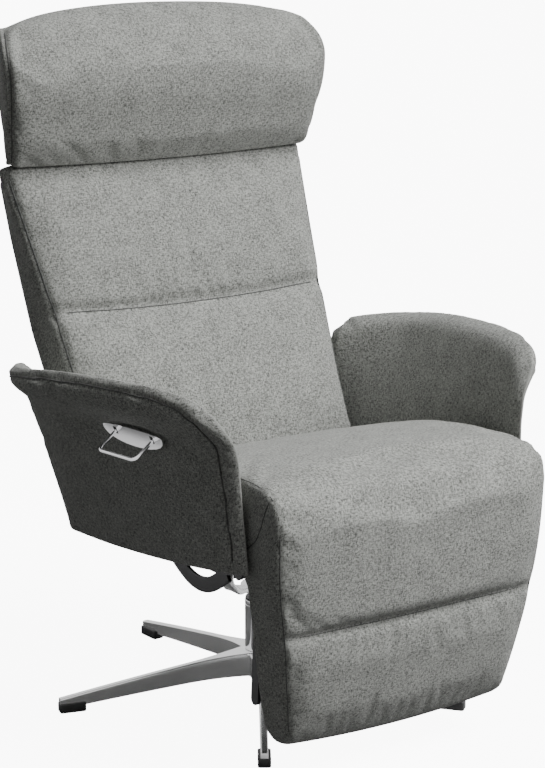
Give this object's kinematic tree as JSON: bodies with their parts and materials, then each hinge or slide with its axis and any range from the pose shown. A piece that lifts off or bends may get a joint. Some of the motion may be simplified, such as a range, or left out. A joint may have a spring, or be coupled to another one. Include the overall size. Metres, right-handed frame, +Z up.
{
  "type": "recliner armchair",
  "caption": "Swivel recliner armchair: star base, yoke under the seat, winged arms, tilting headrest, and a footrest that lifts as the back reclines.",
  "frame": {"origin": "on the floor, on the swivel axis of the star base", "axes": "+Z up; -Y the way the sitter faces; +X the sitter's left, so the release lever is at -X"},
  "size_m": [0.7968, 0.8051, 1.097],
  "materials": {
    "cast_aluminium": "polished casting",
    "chrome": "bright chrome plate",
    "black_steel": "black powder coat, semi-gloss",
    "spring_steel": "oiled steel",
    "black_plastic": "moulded, fine texture",
    "bush_plastic": "natural nylon",
    "plywood": "sanded birch ply",
    "grey_wool": "grey melange wool weave over foam"
  },
  "bodies": {
    "base": {"star_base": "cast_aluminium", "glide_1": "black_plastic", "glide_2": "black_plastic", "glide_3": "black_plastic", "glide_4": "black_plastic", "glide_5": "black_plastic", "column_tube": "chrome", "column_bush": "bush_plastic"},
    "seat": {"spindle": "spring_steel", "yoke": "cast_aluminium", "yoke_tie_rod": "black_steel", "support_bar_left": "black_steel", "support_bar_right": "black_steel", "seat_rail_left": "black_steel", "seat_rail_right": "black_steel", "footrest_pivot_tube": "black_steel", "back_pivot_tube": "black_steel", "cross_tube_front": "black_steel", "cross_tube_rear": "black_steel", "seat_spring_1": "spring_steel", "seat_spring_2": "spring_steel", "seat_spring_3": "spring_steel", "seat_spring_4": "spring_steel", "seat_cushion": "grey_wool", "arm_left": "grey_wool", "arm_right": "grey_wool", "arm_bracket_left": "black_steel", "arm_bracket_right": "black_steel", "release_plate": "chrome", "gas_spring_anchor": "black_steel", "gas_spring_body": "black_steel"},
    "back": {"back_upright_left": "black_steel", "back_upright_right": "black_steel", "back_lever_tube": "black_steel", "back_tube_lower": "black_steel", "back_tube_upper": "black_steel", "back_spring_1": "spring_steel", "back_spring_2": "spring_steel", "back_spring_3": "spring_steel", "back_cushion": "grey_wool", "back_shell": "grey_wool"},
    "footrest": {"footrest_pad": "grey_wool", "footrest_board": "plywood", "knee_pad": "grey_wool", "footrest_arm_left": "black_steel", "footrest_arm_right": "black_steel"},
    "headrest": {"headrest_cushion": "grey_wool", "headrest_board": "plywood", "headrest_shell": "grey_wool", "headrest_arm_left": "black_steel", "headrest_arm_right": "black_steel", "headrest_pin": "black_steel"},
    "rods": {"push_rod_left": "black_steel", "push_rod_right": "black_steel", "gas_spring_rod": "chrome"},
    "lever": {"release_lever": "chrome"}
  },
  "joints": [
    {"name": "swivel", "type": "hinge", "parent": "base", "child": "seat", "pos_m": [0, 0, 0.1655], "axis": [0, 0, 1], "continuous": true},
    {"name": "back_recline", "type": "hinge", "parent": "seat", "child": "back", "pos_m": [0, 0.13, 0.345], "axis": [-1, 0, 0], "range_deg": [0, 32]},
    {"name": "footrest_lift", "type": "hinge", "parent": "seat", "child": "footrest", "pos_m": [0, -0.27, 0.32], "axis": [-1, 0, 0], "range_deg": [0, 78], "deforming": ["knee_pad"]},
    {"name": "push_rod_slide", "type": "slide", "parent": "seat", "child": "rods", "axis": [0, -1, 0], "range_m": [0, 0.0304]},
    {"name": "headrest_tilt", "type": "hinge", "parent": "back", "child": "headrest", "pos_m": [0, 0.318, 0.849], "axis": [1, 0, 0], "range_deg": [0, 28]},
    {"name": "release_lever", "type": "hinge", "parent": "seat", "child": "lever", "pos_m": [-0.3114, -0.13512, 0.50701], "axis": [-0.1117, 0.9937, -0.0103], "range_deg": [0, 28], "stiffness_Nm_per_rad": 0.4, "springref_deg": -11.46}
  ],
  "couplings": [
    {"joint": "footrest_lift", "follows": "back_recline", "ratio": 2.4375},
    {"joint": "push_rod_slide", "follows": "back_recline", "m_per_rad": 0.054288}
  ]
}
